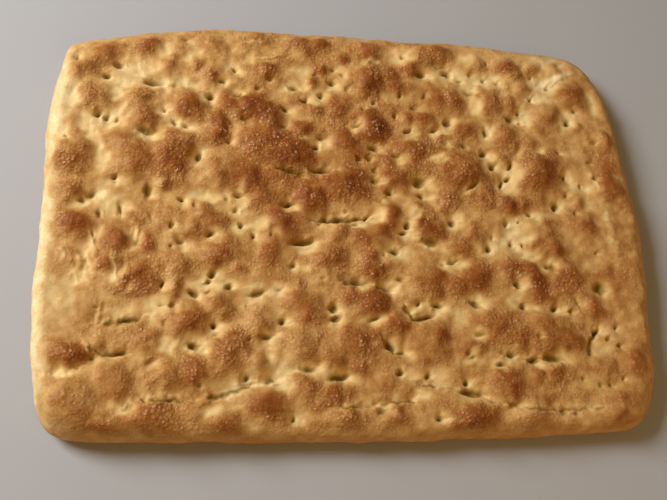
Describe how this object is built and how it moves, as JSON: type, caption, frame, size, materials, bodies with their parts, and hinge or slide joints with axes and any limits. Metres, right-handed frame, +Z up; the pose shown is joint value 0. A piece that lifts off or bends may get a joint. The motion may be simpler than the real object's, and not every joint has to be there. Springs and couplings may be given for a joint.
{
  "type": "focaccia",
  "caption": "Whole focaccia from a large baking pan, with a browned, blistered top of low mounds between pale finger dimples",
  "frame": {"origin": "middle of the bread's bounding box, on the flat bottom that it rests on", "axes": "+X along the long side, to the right; +Y across the bread, to the far side; +Z up through the browned top"},
  "size_m": [0.4128, 0.297, 0.0307],
  "materials": {
    "baked_crust": "baked bread crust, brown and finely blistered on the mounds, pale cream and satin in the dimples"
  },
  "bodies": {
    "root": {"focaccia": "baked_crust"}
  },
  "joints": []
}
